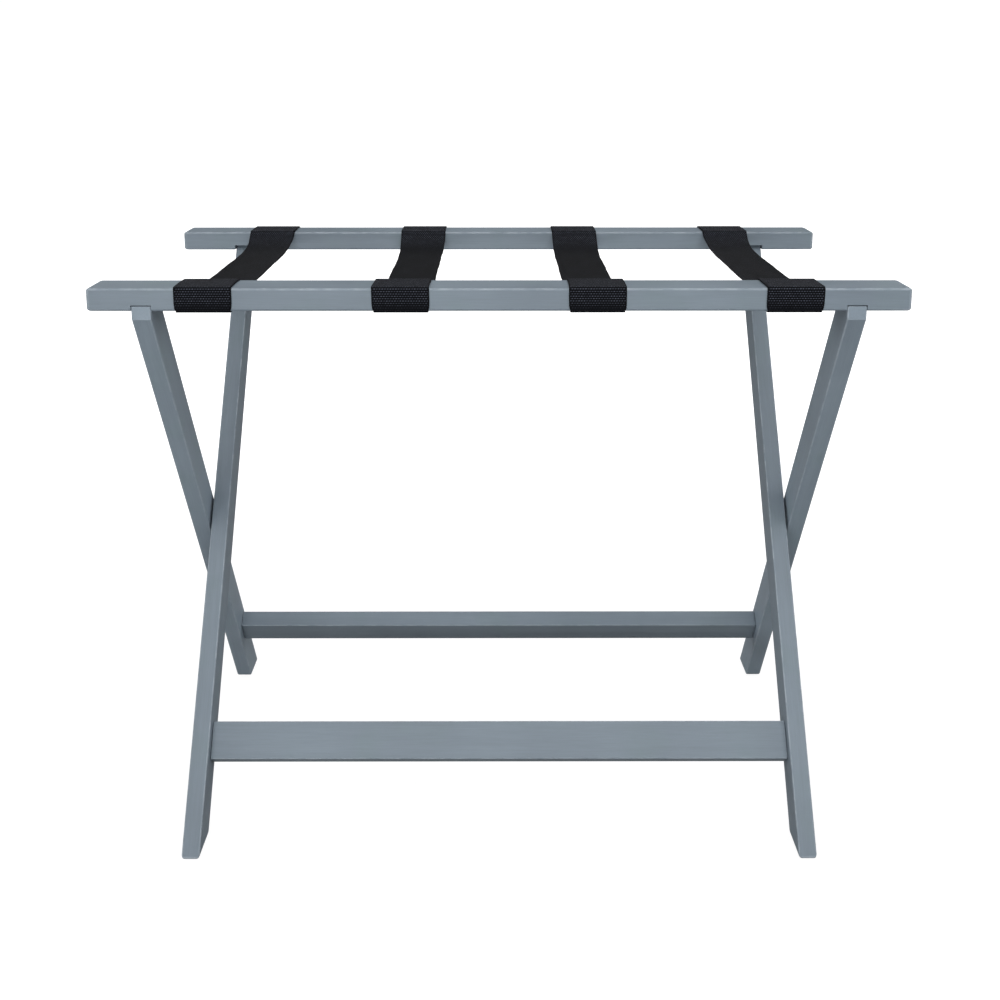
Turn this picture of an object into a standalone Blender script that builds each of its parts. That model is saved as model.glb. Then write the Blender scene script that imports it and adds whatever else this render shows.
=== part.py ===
"""Folding luggage rack: two crossed wooden frames on a common pivot, joined by four webbing straps.

Units are metres, +Z is up. The origin lies on the floor at the middle of the footprint, +X runs
along the rails and -Y is the front. The outer frame carries the front rail on the outer pair of
legs. The inner frame carries the rear rail on the inner pair and turns about the pivot to fold.
"""

import math

import bmesh
import bpy
from mathutils import Vector

# Overall size
RACK_WIDTH = 0.711  # length of the rails
RACK_DEPTH = 0.420  # over the outer faces of the two rails
RAIL_TOP = 0.542  # height of the rails' top faces above the floor
GAP = 0.0003  # clearance kept between pieces that touch

# Rails
RAIL_DEPTH = 0.044
RAIL_THICKNESS = 0.020
RAIL_EDGE = 0.0015  # rounding of the long edges
RAIL_END_EDGE = 0.0030  # rounding of the upright corners at the ends
NOTCH_DEPTH = 0.0050  # housing for the leg, cut across the underside

# Legs
LEG_WIDTH = 0.035  # across the leg, seen from the side
LEG_THICKNESS = 0.017  # along X
LEG_LEAN = math.radians(36.6)  # from upright
LEG_EDGE = 0.0015
OUTER_LEG_X = 0.3170  # outer face of an outer leg
LEG_SPACE = 0.0020  # between an outer and an inner leg
PIVOT_HEIGHT = 0.2610

# Stretchers, whose height runs along the legs and whose thickness runs across them
FRONT_STRETCHER_HEIGHT = 0.0360
REAR_STRETCHER_HEIGHT = 0.0305
STRETCHER_THICKNESS = 0.0190
STRETCHER_DROP = 0.2270  # from the pivot, along the leg
STRETCHER_SETBACK = 0.0110  # behind the leg's face that looks to the front
STRETCHER_EDGE = 0.0010

# Straps
STRAP_COUNT = 4
STRAP_SPACING = 0.170
STRAP_WIDTH = 0.050
STRAP_THICKNESS = 0.0013
STRAP_SAG = 0.0165
STRAP_TAIL = 0.0330  # how far the end runs back under the rail
SAG_POINTS = 25
CORNER_STEPS = 4

# Staples
STAPLES_PER_END = 2
STAPLE_PITCH = 0.024
STAPLE_CROWN = 0.0110
STAPLE_LEG = 0.0095
WIRE_WIDTH = 0.0012
WIRE_THICKNESS = 0.0007
STAPLE_POINT = 0.0010

# Pivot hardware
BOLT_RADIUS = 0.0030
BOLT_HEAD_RADIUS = 0.0075
BOLT_HEAD_HEIGHT = 0.0024
HEX_KEY = 0.0040  # across the flats of the socket in the head
HEX_KEY_DEPTH = 0.0016
BORE_RADIUS = 0.0034
BOLT_IN_LEG = 0.0110  # how far the bolt runs into the inner leg
WASHER_RADIUS = 0.0062
INSERT_RADIUS = 0.0048  # threaded insert, let into the inner leg's outer face
INSERT_LENGTH = 0.0120

# Dowels
RAIL_DOWEL_RADIUS = 0.0040
RAIL_DOWEL_UP = 0.0090  # into the rail
RAIL_DOWEL_DOWN = 0.0200  # into the leg
STRETCHER_DOWEL_RADIUS = 0.0030
STRETCHER_DOWEL_IN_LEG = 0.0110
STRETCHER_DOWEL_IN_RAIL = 0.0190
STRETCHER_DOWEL_EDGE = 0.0085  # from the dowel's axis to the stretcher's edge
DOWEL_CHAMFER = 0.0008
ROUND_SIDES = 24

# Places worked out from the dimensions above
RAIL_BOTTOM = RAIL_TOP - RAIL_THICKNESS
RAIL_Y = (RACK_DEPTH - RAIL_DEPTH) / 2
HALF_DEPTH = RACK_DEPTH / 2
OUTER_LEG_CENTRE = OUTER_LEG_X - LEG_THICKNESS / 2
INNER_LEG_CENTRE = OUTER_LEG_CENTRE - LEG_THICKNESS - LEG_SPACE
LEG_TOP = RAIL_BOTTOM + NOTCH_DEPTH - GAP
LEG_HALF = LEG_WIDTH / 2 / math.cos(LEG_LEAN)  # half the leg's width along Y
STRETCHER_ACROSS = STRETCHER_SETBACK + (STRETCHER_THICKNESS - LEG_WIDTH) / 2
LEG_HEAD_Y = (LEG_TOP - PIVOT_HEIGHT) * math.tan(LEG_LEAN) - LEG_HALF
RAIL_DOWEL_Y = (LEG_HEAD_Y + HALF_DEPTH) / 2


def clear_scene():
    for obj in list(bpy.data.objects):
        bpy.data.objects.remove(obj, do_unlink=True)


def material(name, colour, roughness, metallic=0.0):
    made = bpy.data.materials.new(name)
    made.use_nodes = True
    shader = made.node_tree.nodes["Principled BSDF"]
    shader.inputs["Base Color"].default_value = (*colour, 1.0)
    shader.inputs["Roughness"].default_value = roughness
    shader.inputs["Metallic"].default_value = metallic
    return made


def empty(name, place):
    made = bpy.data.objects.new(name, None)
    made.empty_display_size = 0.05
    made.location = place
    bpy.context.scene.collection.objects.link(made)
    return made


def add_object(name, shape, place, parent=None, finish=None):
    """Turns a bmesh into an object whose origin is at place, in world metres."""
    bmesh.ops.recalc_face_normals(shape, faces=shape.faces)
    mesh = bpy.data.meshes.new(name)
    shape.to_mesh(mesh)
    shape.free()
    made = bpy.data.objects.new(name, mesh)
    bpy.context.scene.collection.objects.link(made)
    made.location = place
    if parent is not None:
        made.parent = parent
        made.location = Vector(place) - parent.location
    if finish is not None:
        mesh.materials.append(finish)
    return made


def prism(outline, length):
    """An outline of (y, z) points extruded along X, with half of its length on each side of X = 0."""
    shape = bmesh.new()
    corners = [shape.verts.new((-length / 2, y, z)) for y, z in outline]
    face = shape.faces.new(corners)
    grown = bmesh.ops.extrude_face_region(shape, geom=[face])["geom"]
    moved = [item for item in grown if isinstance(item, bmesh.types.BMVert)]
    bmesh.ops.translate(shape, verts=moved, vec=(length, 0, 0))
    return shape


def turned(profile, sides=ROUND_SIDES):
    """A solid of revolution about X, from a profile of (x, radius) points that is closed by a last edge."""
    shape = bmesh.new()
    points = [shape.verts.new((x, radius, 0)) for x, radius in profile]
    edges = [shape.edges.new((a, b)) for a, b in zip(points, points[1:] + points[:1])]
    bmesh.ops.spin(
        shape,
        geom=points + edges,
        cent=(0, 0, 0),
        axis=(1, 0, 0),
        angle=math.tau,
        steps=sides,
        use_merge=True,
    )
    bmesh.ops.remove_doubles(shape, verts=shape.verts, dist=1e-6)
    bmesh.ops.dissolve_degenerate(shape, edges=shape.edges, dist=1e-7)
    return shape


def box(size):
    shape = bmesh.new()
    bmesh.ops.create_cube(shape, size=1.0)
    bmesh.ops.scale(shape, verts=shape.verts, vec=size)
    return shape


def rod(radius, length, sides=ROUND_SIDES):
    """A plain cylinder along X, centred on its middle."""
    half = length / 2
    return turned([(-half, 0), (-half, radius), (half, radius), (half, 0)], sides)


def cutter(name, shape, place, parent=None):
    made = add_object(name, shape, place, parent)
    made.hide_render = True
    made.display_type = "WIRE"
    return made


def cut(target, tool):
    modifier = target.modifiers.new("cut " + tool.name, "BOOLEAN")
    modifier.operation = "DIFFERENCE"
    modifier.solver = "EXACT"
    modifier.object = tool


def round_edges(target, width, segments=2, limit=math.radians(20)):
    modifier = target.modifiers.new("rounded edges", "BEVEL")
    modifier.width = width
    modifier.segments = segments
    modifier.limit_method = "ANGLE"
    modifier.angle_limit = limit


def shade_round(target, sharp=math.radians(35)):
    target.data.shade_smooth()
    target.data.set_sharp_from_angle(angle=sharp)


def side_name(side):
    return "left" if side < 0 else "right"


def make_rail(name, lean, leg_centre, parent, finish):
    """One rail. lean is +1 for the rail at the back and -1 for the one at the front."""
    half_y = RAIL_DEPTH / 2
    half_z = RAIL_THICKNESS / 2
    outline = [(-half_y, -half_z), (half_y, -half_z), (half_y, half_z), (-half_y, half_z)]
    shape = prism(outline, RACK_WIDTH)
    upright = [e for e in shape.edges if abs(e.verts[0].co.z - e.verts[1].co.z) > half_z]
    bmesh.ops.bevel(shape, geom=upright, offset=RAIL_END_EDGE, segments=4, profile=0.5, affect="EDGES")
    rail = add_object(name, shape, (0, lean * RAIL_Y, RAIL_TOP - half_z), parent, finish)
    round_edges(rail, RAIL_EDGE, segments=3, limit=math.radians(50))
    for side in (-1, 1):
        notch_size = (LEG_THICKNESS + 2 * GAP, RAIL_DEPTH * 1.2, 2 * NOTCH_DEPTH)
        notch_place = (side * leg_centre, lean * RAIL_Y, RAIL_BOTTOM)
        notch = cutter(f"{name}_notch_{side_name(side)}", box(notch_size), notch_place, parent)
        cut(rail, notch)
        cut(rail, dowel_bore(f"{name}_bore_{side_name(side)}", side * leg_centre, lean, parent))
    return rail


def dowel_bore(name, x, lean, parent):
    """A cutter for the upright dowel between a leg and its rail."""
    length = RAIL_DOWEL_UP + RAIL_DOWEL_DOWN + 2 * GAP
    middle = LEG_TOP + (RAIL_DOWEL_UP - RAIL_DOWEL_DOWN) / 2
    tool = cutter(name, rod(RAIL_DOWEL_RADIUS + GAP, length), (x, lean * RAIL_DOWEL_Y, middle), parent)
    tool.rotation_euler.y = math.pi / 2
    return tool


def leg_outline(lean):
    """The leg seen from the side, about the pivot. lean is +1 where its top goes to the back."""
    slope = math.tan(LEG_LEAN)
    sole = -PIVOT_HEIGHT
    top = LEG_TOP - PIVOT_HEIGHT
    flush = (HALF_DEPTH - LEG_HALF) / slope  # where the leg's outer edge meets the rail's outer face
    points = [
        (sole * slope - LEG_HALF, sole),
        (sole * slope + LEG_HALF, sole),
        (HALF_DEPTH, flush),
        (HALF_DEPTH, top),
        (top * slope - LEG_HALF, top),
    ]
    return [(lean * y, z) for y, z in points]


def pivot_bore(name, x, lean, parent):
    """A cutter right through an outer leg, or blind and for the insert in an inner one."""
    if lean < 0:
        return cutter(name, rod(BORE_RADIUS, LEG_THICKNESS * 1.5), (x, 0, PIVOT_HEIGHT), parent)
    outer_face = x + math.copysign(LEG_THICKNESS / 2, x)
    bore = rod(INSERT_RADIUS + GAP, 2 * (INSERT_LENGTH + 2 * GAP))
    return cutter(name, bore, (outer_face, 0, PIVOT_HEIGHT), parent)


def make_leg(name, x, lean, stretcher, parent, finish):
    """A leg with its pivot bore and its dowel bores. stretcher is the height of the one it carries."""
    leg = add_object(name, prism(leg_outline(lean), LEG_THICKNESS), (x, 0, PIVOT_HEIGHT), parent, finish)
    round_edges(leg, LEG_EDGE, segments=3)
    cut(leg, pivot_bore(name + "_pivot_bore", x, lean, parent))
    cut(leg, dowel_bore(name + "_head_bore", x, lean, parent))
    inward = -1 if x > 0 else 1
    face_x = x + inward * LEG_THICKNESS / 2
    for number, place in enumerate(stretcher_dowel_places(lean, stretcher), start=1):
        tool = rod(STRETCHER_DOWEL_RADIUS + GAP, 2 * (STRETCHER_DOWEL_IN_LEG + GAP))
        cut(leg, cutter(f"{name}_dowel_bore_{number}", tool, (face_x, *place), parent))
    return leg


def along_leg(lean, drop, across=0.0):
    """The (y, z) of a point that lies drop below the pivot along a leg, and across it towards the back."""
    sine = math.sin(LEG_LEAN)
    cosine = math.cos(LEG_LEAN)
    y = -lean * drop * sine + across * cosine
    z = PIVOT_HEIGHT - drop * cosine - lean * across * sine
    return y, z


def stretcher_dowel_places(lean, height):
    half = height / 2 - STRETCHER_DOWEL_EDGE
    return [along_leg(lean, STRETCHER_DROP + way * half, STRETCHER_ACROSS) for way in (-1, 1)]


def make_stretcher(name, lean, height, leg_centre, parent, finish):
    """A stretcher between a pair of legs, turned so that its faces are parallel with theirs."""
    length = 2 * (leg_centre - LEG_THICKNESS / 2 - GAP)
    half_y = STRETCHER_THICKNESS / 2
    half_z = height / 2
    outline = [(-half_y, -half_z), (half_y, -half_z), (half_y, half_z), (-half_y, half_z)]
    place = (0, *along_leg(lean, STRETCHER_DROP, STRETCHER_ACROSS))
    stretcher = add_object(name, prism(outline, length), place, parent, finish)
    stretcher.rotation_euler.x = -lean * LEG_LEAN
    round_edges(stretcher, STRETCHER_EDGE)
    for side in (-1, 1):
        for number, place in enumerate(stretcher_dowel_places(lean, height), start=1):
            tool = rod(STRETCHER_DOWEL_RADIUS + GAP, 2 * (STRETCHER_DOWEL_IN_RAIL + GAP))
            name_of_tool = f"{name}_bore_{side_name(side)}_{number}"
            cut(stretcher, cutter(name_of_tool, tool, (side * length / 2, *place), parent))
    return stretcher


def dowel(name, radius, length, place, parent, finish):
    half = length / 2
    profile = [
        (-half, 0),
        (-half, radius - DOWEL_CHAMFER),
        (-half + DOWEL_CHAMFER, radius),
        (half - DOWEL_CHAMFER, radius),
        (half, radius - DOWEL_CHAMFER),
        (half, 0),
    ]
    made = add_object(name, turned(profile), place, parent, finish)
    shade_round(made)
    return made


def make_rail_dowels(name, leg_centre, lean, parent, finish):
    length = RAIL_DOWEL_UP + RAIL_DOWEL_DOWN
    middle = LEG_TOP + (RAIL_DOWEL_UP - RAIL_DOWEL_DOWN) / 2
    for side in (-1, 1):
        place = (side * leg_centre, lean * RAIL_DOWEL_Y, middle)
        made = dowel(f"{name}_{side_name(side)}", RAIL_DOWEL_RADIUS, length, place, parent, finish)
        made.rotation_euler.y = math.pi / 2


def make_stretcher_dowels(name, leg_centre, lean, stretcher, parent, finish):
    length = STRETCHER_DOWEL_IN_LEG + STRETCHER_DOWEL_IN_RAIL
    face_x = leg_centre - LEG_THICKNESS / 2
    middle_x = face_x + (STRETCHER_DOWEL_IN_LEG - STRETCHER_DOWEL_IN_RAIL) / 2
    for side in (-1, 1):
        for number, place in enumerate(stretcher_dowel_places(lean, stretcher), start=1):
            full_name = f"{name}_{side_name(side)}_{number}"
            place = (side * middle_x, *place)
            dowel(full_name, STRETCHER_DOWEL_RADIUS, length, place, parent, finish)


def arc(centre, radius, start, end, steps):
    """Points of an arc in the (y, z) plane; the angles are in degrees from +Y towards +Z."""
    points = []
    for step in range(steps + 1):
        angle = math.radians(start + (end - start) * step / steps)
        points.append((centre[0] + radius * math.cos(angle), centre[1] + radius * math.sin(angle)))
    return points


def strap_half_path():
    """The face of the strap that touches the wood, from its end under the front rail to mid-span."""
    bend = RAIL_EDGE + GAP
    outer = -HALF_DEPTH + RAIL_EDGE
    inner = -HALF_DEPTH + RAIL_DEPTH - RAIL_EDGE
    points = [(-HALF_DEPTH + STRAP_TAIL, RAIL_BOTTOM - GAP)]
    points += arc((outer, RAIL_BOTTOM + RAIL_EDGE), bend, 270, 180, CORNER_STEPS)
    points += arc((outer, RAIL_TOP - RAIL_EDGE), bend, 180, 90, CORNER_STEPS)
    for step in range(SAG_POINTS):
        y = inner * (1 - step / (SAG_POINTS - 1))
        points.append((y, RAIL_TOP + GAP - STRAP_SAG * (1 - (y / inner) ** 2)))
    return points


def make_strap(name, x, finish):
    half = strap_half_path()
    path = half + [(-y, z) for y, z in reversed(half[:-1])]
    shape = bmesh.new()
    rows = [[shape.verts.new((side * STRAP_WIDTH / 2, y, z)) for side in (-1, 1)] for y, z in path]
    for (a, b), (c, d) in zip(rows, rows[1:]):
        shape.faces.new((a, b, d, c))
    strap = add_object(name, shape, (x, 0, 0), finish=finish)
    modifier = strap.modifiers.new("webbing thickness", "SOLIDIFY")
    modifier.thickness = STRAP_THICKNESS
    modifier.offset = 1.0
    modifier.use_even_offset = True
    for lean in (-1, 1):
        for number in range(STAPLES_PER_END):
            place = staple_place(x, lean, number)
            for leg in (-1, 1):
                tool_name = f"{name}_slot_{lean}_{number}_{leg}"
                cut(strap, staple_slot(tool_name, place, leg, None))
    return strap


def staple_place(strap_x, lean, number):
    """The middle of the staple's crown, on the face that presses on the strap."""
    x = strap_x + (number - (STAPLES_PER_END - 1) / 2) * STAPLE_PITCH
    return x, lean * RAIL_Y, RAIL_BOTTOM - STRAP_THICKNESS - 2 * GAP


def staple_slot(name, place, leg, parent):
    """A cutter for one leg of a staple, through the strap and into the rail."""
    x, y, z = place
    size = (WIRE_THICKNESS + 2 * GAP, WIRE_WIDTH + 2 * GAP, STAPLE_LEG + 2 * GAP)
    leg_x = x + leg * (STAPLE_CROWN - WIRE_THICKNESS) / 2
    return cutter(name, box(size), (leg_x, y, z + size[2] / 2 - GAP), parent)


def make_staple(name, place, parent, finish):
    half = STAPLE_CROWN / 2
    tip = STAPLE_LEG - STAPLE_POINT
    arm = [
        (half, -WIRE_THICKNESS),
        (half, tip),
        (half - WIRE_THICKNESS, STAPLE_LEG),
        (half - WIRE_THICKNESS, 0),
    ]
    outline = arm + [(-across, up) for across, up in reversed(arm)]
    staple = add_object(name, prism(outline, WIRE_WIDTH), place, parent, finish)
    staple.rotation_euler.z = math.pi / 2
    return staple


def fasten_strap(strap_name, x, rails, parents, finish):
    """Staples both ends of one strap and cuts the slots for them in the rails."""
    for lean, rail, parent in zip((-1, 1), rails, parents):
        end_name = "front" if lean < 0 else "rear"
        for number in range(STAPLES_PER_END):
            place = staple_place(x, lean, number)
            name = f"{strap_name}_staple_{end_name}_{number + 1}"
            make_staple(name, place, parent, finish)
            for leg in (-1, 1):
                tool = staple_slot(f"{name}_slot_{leg}", place, leg, parent)
                cut(rail, tool)


def make_pivot(side, fixed, moving, steel):
    """The bolt, washer and insert on one side. Shapes are drawn for the right and mirrored."""
    label = side_name(side)
    outer_face = OUTER_LEG_X + GAP
    washer_high = OUTER_LEG_X - LEG_THICKNESS - GAP
    washer_low = OUTER_LEG_X - LEG_THICKNESS - LEG_SPACE + GAP
    insert_face = INNER_LEG_CENTRE + LEG_THICKNESS / 2 - GAP
    tip = insert_face - BOLT_IN_LEG

    def put(name, profile, parent):
        shape = turned([(side * x, radius) for x, radius in profile])
        made = add_object(f"{name}_{label}", shape, (0, 0, PIVOT_HEIGHT), parent, steel)
        shade_round(made)
        return made

    head = [(outer_face + BOLT_HEAD_HEIGHT, 0)]
    for step in range(1, 6):
        turn = math.radians(90 * step / 5)
        radius = BOLT_HEAD_RADIUS * math.sin(turn)
        head.append((outer_face + 0.0006 + (BOLT_HEAD_HEIGHT - 0.0006) * math.cos(turn), radius))
    head += [(outer_face, BOLT_HEAD_RADIUS), (outer_face, BOLT_RADIUS)]
    shank = [(tip + 0.0006, BOLT_RADIUS), (tip, BOLT_RADIUS - 0.0006), (tip, 0)]
    bolt = put("pivot_bolt", head + shank, moving)
    socket = bmesh.new()
    bmesh.ops.create_cone(
        socket,
        cap_ends=True,
        segments=6,
        radius1=HEX_KEY / math.sqrt(3),
        radius2=HEX_KEY / math.sqrt(3),
        depth=2 * HEX_KEY_DEPTH,
    )
    socket_place = (side * (outer_face + BOLT_HEAD_HEIGHT), 0, PIVOT_HEIGHT)
    key = cutter(f"pivot_key_{label}", socket, socket_place, moving)
    key.rotation_euler.y = math.pi / 2
    cut(bolt, key)

    put("pivot_washer", ring_profile(washer_low, washer_high, BORE_RADIUS, WASHER_RADIUS), fixed)
    insert_end = insert_face - INSERT_LENGTH
    put("pivot_insert", ring_profile(insert_end, insert_face, BOLT_RADIUS + GAP, INSERT_RADIUS), moving)


def ring_profile(low, high, bore, radius):
    return [(low, bore), (low, radius), (high, radius), (high, bore)]


def main():
    clear_scene()
    paint = material("slate_paint", (0.205, 0.245, 0.280), 0.42)
    beech = material("bare_wood", (0.62, 0.45, 0.28), 0.60)
    webbing = material("black_webbing", (0.012, 0.012, 0.015), 0.75)
    steel = material("plated_steel", (0.60, 0.60, 0.62), 0.30, metallic=1.0)

    outer_frame = empty("outer_frame", (0, 0, PIVOT_HEIGHT))
    inner_frame = empty("inner_frame", (0, 0, PIVOT_HEIGHT))
    rear = REAR_STRETCHER_HEIGHT
    front = FRONT_STRETCHER_HEIGHT

    front_rail = make_rail("front_rail", -1, OUTER_LEG_CENTRE, outer_frame, paint)
    rear_rail = make_rail("rear_rail", 1, INNER_LEG_CENTRE, inner_frame, paint)
    for side in (-1, 1):
        outer_x = side * OUTER_LEG_CENTRE
        inner_x = side * INNER_LEG_CENTRE
        make_leg(f"outer_leg_{side_name(side)}", outer_x, -1, rear, outer_frame, paint)
        make_leg(f"inner_leg_{side_name(side)}", inner_x, 1, front, inner_frame, paint)
        make_pivot(side, outer_frame, inner_frame, steel)
    make_stretcher("rear_stretcher", -1, rear, OUTER_LEG_CENTRE, outer_frame, paint)
    make_stretcher("front_stretcher", 1, front, INNER_LEG_CENTRE, inner_frame, paint)

    make_rail_dowels("front_rail_dowel", OUTER_LEG_CENTRE, -1, outer_frame, beech)
    make_rail_dowels("rear_rail_dowel", INNER_LEG_CENTRE, 1, inner_frame, beech)
    make_stretcher_dowels("rear_stretcher_dowel", OUTER_LEG_CENTRE, -1, rear, outer_frame, beech)
    make_stretcher_dowels("front_stretcher_dowel", INNER_LEG_CENTRE, 1, front, inner_frame, beech)

    for number in range(STRAP_COUNT):
        x = (number - (STRAP_COUNT - 1) / 2) * STRAP_SPACING
        name = f"strap_{number + 1}"
        make_strap(name, x, webbing)
        fasten_strap(name, x, (front_rail, rear_rail), (outer_frame, inner_frame), steel)


main()
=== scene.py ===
"""Looks of the folding luggage rack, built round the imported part.

Metres, +Z up, -Y is the front. Painted timbers, woven straps and pivot hardware are made here and
stand for the plain CAD pieces of the same size and place.
"""

import math

import bmesh
import bpy
import numpy as np
from mathutils import Matrix, Vector


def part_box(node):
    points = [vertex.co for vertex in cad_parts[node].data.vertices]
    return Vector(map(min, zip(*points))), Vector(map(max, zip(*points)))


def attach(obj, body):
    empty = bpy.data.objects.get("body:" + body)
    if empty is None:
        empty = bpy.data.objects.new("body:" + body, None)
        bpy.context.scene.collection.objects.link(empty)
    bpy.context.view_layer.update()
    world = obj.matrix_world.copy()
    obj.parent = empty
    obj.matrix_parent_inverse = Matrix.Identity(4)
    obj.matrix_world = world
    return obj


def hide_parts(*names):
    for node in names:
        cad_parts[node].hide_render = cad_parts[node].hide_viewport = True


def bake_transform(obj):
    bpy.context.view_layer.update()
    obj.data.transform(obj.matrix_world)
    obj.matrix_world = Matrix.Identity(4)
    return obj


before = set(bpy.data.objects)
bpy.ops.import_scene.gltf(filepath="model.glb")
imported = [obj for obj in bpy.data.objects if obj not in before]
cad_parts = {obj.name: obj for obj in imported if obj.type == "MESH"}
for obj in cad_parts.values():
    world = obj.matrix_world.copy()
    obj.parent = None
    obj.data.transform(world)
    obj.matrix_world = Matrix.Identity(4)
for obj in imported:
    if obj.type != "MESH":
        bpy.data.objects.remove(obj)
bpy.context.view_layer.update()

# Sizes of the part, as in its CAD
RAIL_LOW, RAIL_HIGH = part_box("front_rail")
RAIL_TOP = RAIL_HIGH.z
RAIL_BOTTOM = RAIL_LOW.z
RAIL_BACK = RAIL_HIGH.y  # the front rail's edge that looks at the rear rail
HALF_DEPTH = -RAIL_LOW.y
RAIL_EDGE = 0.0015
RAIL_END_EDGE = 0.0030
RAIL_CORNER_STEPS = 6
GAP = 0.0003  # between a piece and the one it rests on or goes into
NOTCH_DEPTH = 0.0050
LEG_WIDTH = 0.035
LEG_THICKNESS = 0.017
LEG_EDGE = 0.0015
SOLE_EDGE = 0.0040  # upright edges at the foot
SOLE_RIM = 0.0036  # edges round the sole
HEAD_EDGE = 0.0004
HEAD_GAP = 0.0009  # shadow line between a leg's head and the rail
LEG_LEAN = math.radians(36.6)
PIVOT_HEIGHT = 0.261
STRETCHER_THICKNESS = 0.019
STRETCHER_EDGE = 0.0010
STRETCHER_HEIGHTS = {"front_stretcher": 0.0360, "rear_stretcher": 0.0305}
ARRIS_SEGMENTS = 5
SHADE_ANGLE = 30
ARRIS_STRIP = 0.0012  # faces narrower than this belong to a rounded edge
LEG_TOP = RAIL_BOTTOM + NOTCH_DEPTH - HEAD_GAP
LEG_HALF = LEG_WIDTH / 2 / math.cos(LEG_LEAN)

# Webbing
STRAP_NAMES = ("strap_1", "strap_2", "strap_3", "strap_4")
STRAP_WIDTH = 0.050
STRAP_THICKNESS = 0.0013
STRAP_SAGS = (0.0175, 0.0203, 0.0192, 0.0167)
SAG_POWER = 8  # how flat the span hangs between its steep ends
STRAP_CURLS = (0.20, 0.16, 0.10, 0.20)  # radians that the selvedges turn up in the span
CURL_REACH = 0.030  # distance from the rail over which curl and waist grow
NECKINGS = (0.05, 0.02, 0.0, 0.05)  # part of its width that each strap loses in the span
STRAP_TAIL = 0.0330
RIB_PITCH = 0.00205  # along the strap
ROWS_PER_RIB = 4
TOP_COLUMNS = 43
EDGE_STEPS = 3
RELIEF = 0.00020
SELVEDGE_RADIUS = 0.00052
SELVEDGE_INSET = 0.0001
SELVEDGE_WAVE = 0.00008  # bulge of each rib at the selvedge
TUCKS = ((0.0006, 0.0045), (0.0009, 0.0012))  # depth and reach of the pulls at the rail's lower edge
WANDERS = ((0.00018, 61, 1), (0.00012, 143, 2))  # size, radians per metre and turn per strap
LOW_YARN = 0.52  # height of the lower yarns, as a part of the raised ones
UNEVENNESS = 0.16
SELVEDGE_HEIGHT = 0.55  # what is left of the relief at the selvedge
UNDER_HEIGHT = 0.62  # and under the rails
SPAN_FLATTENING = 0.12
UNDER_REACH = 0.009
END_LENGTH = 0.0009  # over which a cut end thins down
END_THINNESS = 0.45
STRAP_SEED = 40

# Pivot hardware and staples
BOLT_HEAD_RADIUS = 0.0075
BOLT_HEAD_HEIGHT = 0.0024
BOLT_RADIUS = 0.0030
HEX_KEY = 0.0040
HEX_KEY_DEPTH = 0.0016
HARDWARE_ANGLE = 28
WASHER_BORE = 0.0034
WASHER_CUT = 0.00022
WIRE_WIDTH = 0.0012
WIRE_THICKNESS = 0.0007
WIRE_EDGE = 0.0002
STAPLE_SHOULDER = 0.0009

# Paint and yarn colours
PAINT_DARK = (0.174, 0.214, 0.254)
PAINT_LIGHT = (0.204, 0.249, 0.292)
PAINT_GREEN = (0.180, 0.233, 0.258)
# Pale paint for rounded edges: partly wear, partly a painted highlight.
PAINT_WORN_AND_HIGHLIGHT = (0.38, 0.43, 0.48)
# The webbing's groove and crown colours are a painted shade and a painted highlight.
YARN_GROOVE_SHADE = (0.0008, 0.0011, 0.0022)
YARN_CROWN_HIGHLIGHT = (0.150, 0.168, 0.222)
YARN_DUSTY = (0.0105, 0.0118, 0.0170)


def look_from(camera, place, pitch_down, yaw):
    camera.location = place
    camera.rotation_euler = (math.radians(90 - pitch_down), 0, math.radians(yaw))


def make_camera():
    data = bpy.data.cameras.new("camera")
    camera = bpy.data.objects.new("camera", data)
    bpy.context.scene.collection.objects.link(camera)
    data.sensor_width = 36.0
    data.lens = 48.96
    data.shift_y = -0.16
    data.clip_start = 0.05
    data.clip_end = 60.0
    look_from(camera, (-0.002, -1.361, 0.739), 11.89, -0.13)
    bpy.context.scene.camera = camera


# Node helpers


def new_material(name):
    made = bpy.data.materials.new(name)
    made.use_nodes = True
    tree = made.node_tree
    return made, tree, tree.nodes["Principled BSDF"]


def add_node(tree, kind, inputs=None, **settings):
    made = tree.nodes.new(kind)
    for key, value in settings.items():
        setattr(made, key, value)
    for key, value in (inputs or {}).items():
        socket = made.inputs[key]
        if isinstance(value, bpy.types.NodeSocket):
            tree.links.new(value, socket)
        else:
            socket.default_value = value
    return made


def maths(tree, operation, a, b=0.0, clamp=False):
    made = add_node(tree, "ShaderNodeMath", {0: a, 1: b}, operation=operation)
    made.use_clamp = clamp
    return made.outputs[0]


def noise(tree, vector, scale, detail=3.0, roughness=0.5):
    values = {"Vector": vector, "Scale": scale, "Detail": detail, "Roughness": roughness}
    return add_node(tree, "ShaderNodeTexNoise", values).outputs["Fac"]


def stretched(tree, vector, scale, shift=(0, 0, 0)):
    values = {"Vector": vector, "Scale": scale, "Location": shift}
    return add_node(tree, "ShaderNodeMapping", values).outputs[0]


def spread(tree, value, low, high, to_low=0.0, to_high=1.0):
    values = {"Value": value, "From Min": low, "From Max": high, "To Min": to_low, "To Max": to_high}
    return add_node(tree, "ShaderNodeMapRange", values).outputs[0]


def mix_colour(tree, factor, a, b, blend="MIX"):
    made = add_node(tree, "ShaderNodeMix", data_type="RGBA", blend_type=blend)
    for index, value in ((0, factor), (6, a), (7, b)):
        if isinstance(value, bpy.types.NodeSocket):
            tree.links.new(value, made.inputs[index])
        else:
            made.inputs[index].default_value = value
    return made.outputs[2]


def bump(tree, height, strength, distance, normal=None):
    values = {"Height": height, "Strength": strength, "Distance": distance}
    if normal is not None:
        values["Normal"] = normal
    return add_node(tree, "ShaderNodeBump", values).outputs[0]


def colour(red, green, blue):
    return (red, green, blue, 1.0)


def toned(rgb, tone_and_light):
    return colour(*(channel * tone_and_light for channel in rgb))


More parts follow.
